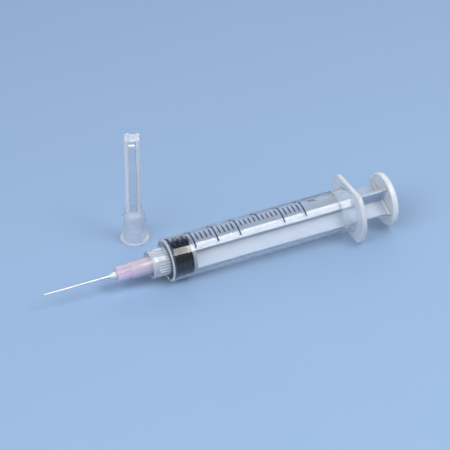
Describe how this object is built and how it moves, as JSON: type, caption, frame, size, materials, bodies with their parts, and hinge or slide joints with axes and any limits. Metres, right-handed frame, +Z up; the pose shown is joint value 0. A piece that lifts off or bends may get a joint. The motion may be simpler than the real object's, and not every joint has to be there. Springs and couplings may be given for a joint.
{
  "type": "luer lock syringe",
  "caption": "Luer lock syringe with clear barrel, sliding plunger, flat-sided finger flange and screw-on needle, beside its loose needle cap",
  "frame": {"origin": "on the table plane, under the middle of the footprint of the syringe and its cap", "axes": "+X along the syringe from the needle towards the thumb rest, level on the table; +Z up; the cap stands on the +Y side"},
  "size_m": [0.1242, 0.0424, 0.04],
  "materials": {
    "clear_barrel": "clear, glossy polypropylene",
    "scale_ink": "printed dark blue-black ink",
    "black_rubber": "smooth black rubber, lightly oiled",
    "milky_rod": "milky translucent polypropylene",
    "pink_hub": "pale pink translucent polypropylene",
    "needle_steel": "drawn and polished stainless steel",
    "white_adhesive": "cured white adhesive",
    "milky_cap": "milky translucent polyethylene"
  },
  "bodies": {
    "barrel": {"barrel": "clear_barrel", "needle_cap": "milky_cap"},
    "stopper": {"plunger_stopper": "black_rubber"},
    "rod": {"plunger_rod": "milky_rod"},
    "bead": {"adhesive_bead": "white_adhesive"},
    "needle": {"needle_hub": "pink_hub", "cannula": "needle_steel"}
  },
  "joints": [
    {"name": "plunger_slide", "type": "slide", "parent": "barrel", "child": "stopper", "axis": [0.9996, 0, 0.0293], "range_m": [0, 0.05387]},
    {"name": "rod_turn", "type": "hinge", "parent": "stopper", "child": "rod", "pos_m": [-0.01126, -0.00901, 0.00751], "axis": [0.9996, 0, 0.0293], "continuous": true},
    {"name": "hub_travel", "type": "slide", "parent": "barrel", "child": "bead", "axis": [-0.9996, 0, -0.0293], "range_m": [0, 0.0025]},
    {"name": "hub_twist", "type": "hinge", "parent": "bead", "child": "needle", "pos_m": [-0.03598, -0.00901, 0.00678], "axis": [-0.9996, 0, -0.0293], "range_deg": [0, 180]}
  ],
  "couplings": [
    {"joint": "hub_twist", "follows": "hub_travel", "rad_per_m": 1256.6}
  ]
}
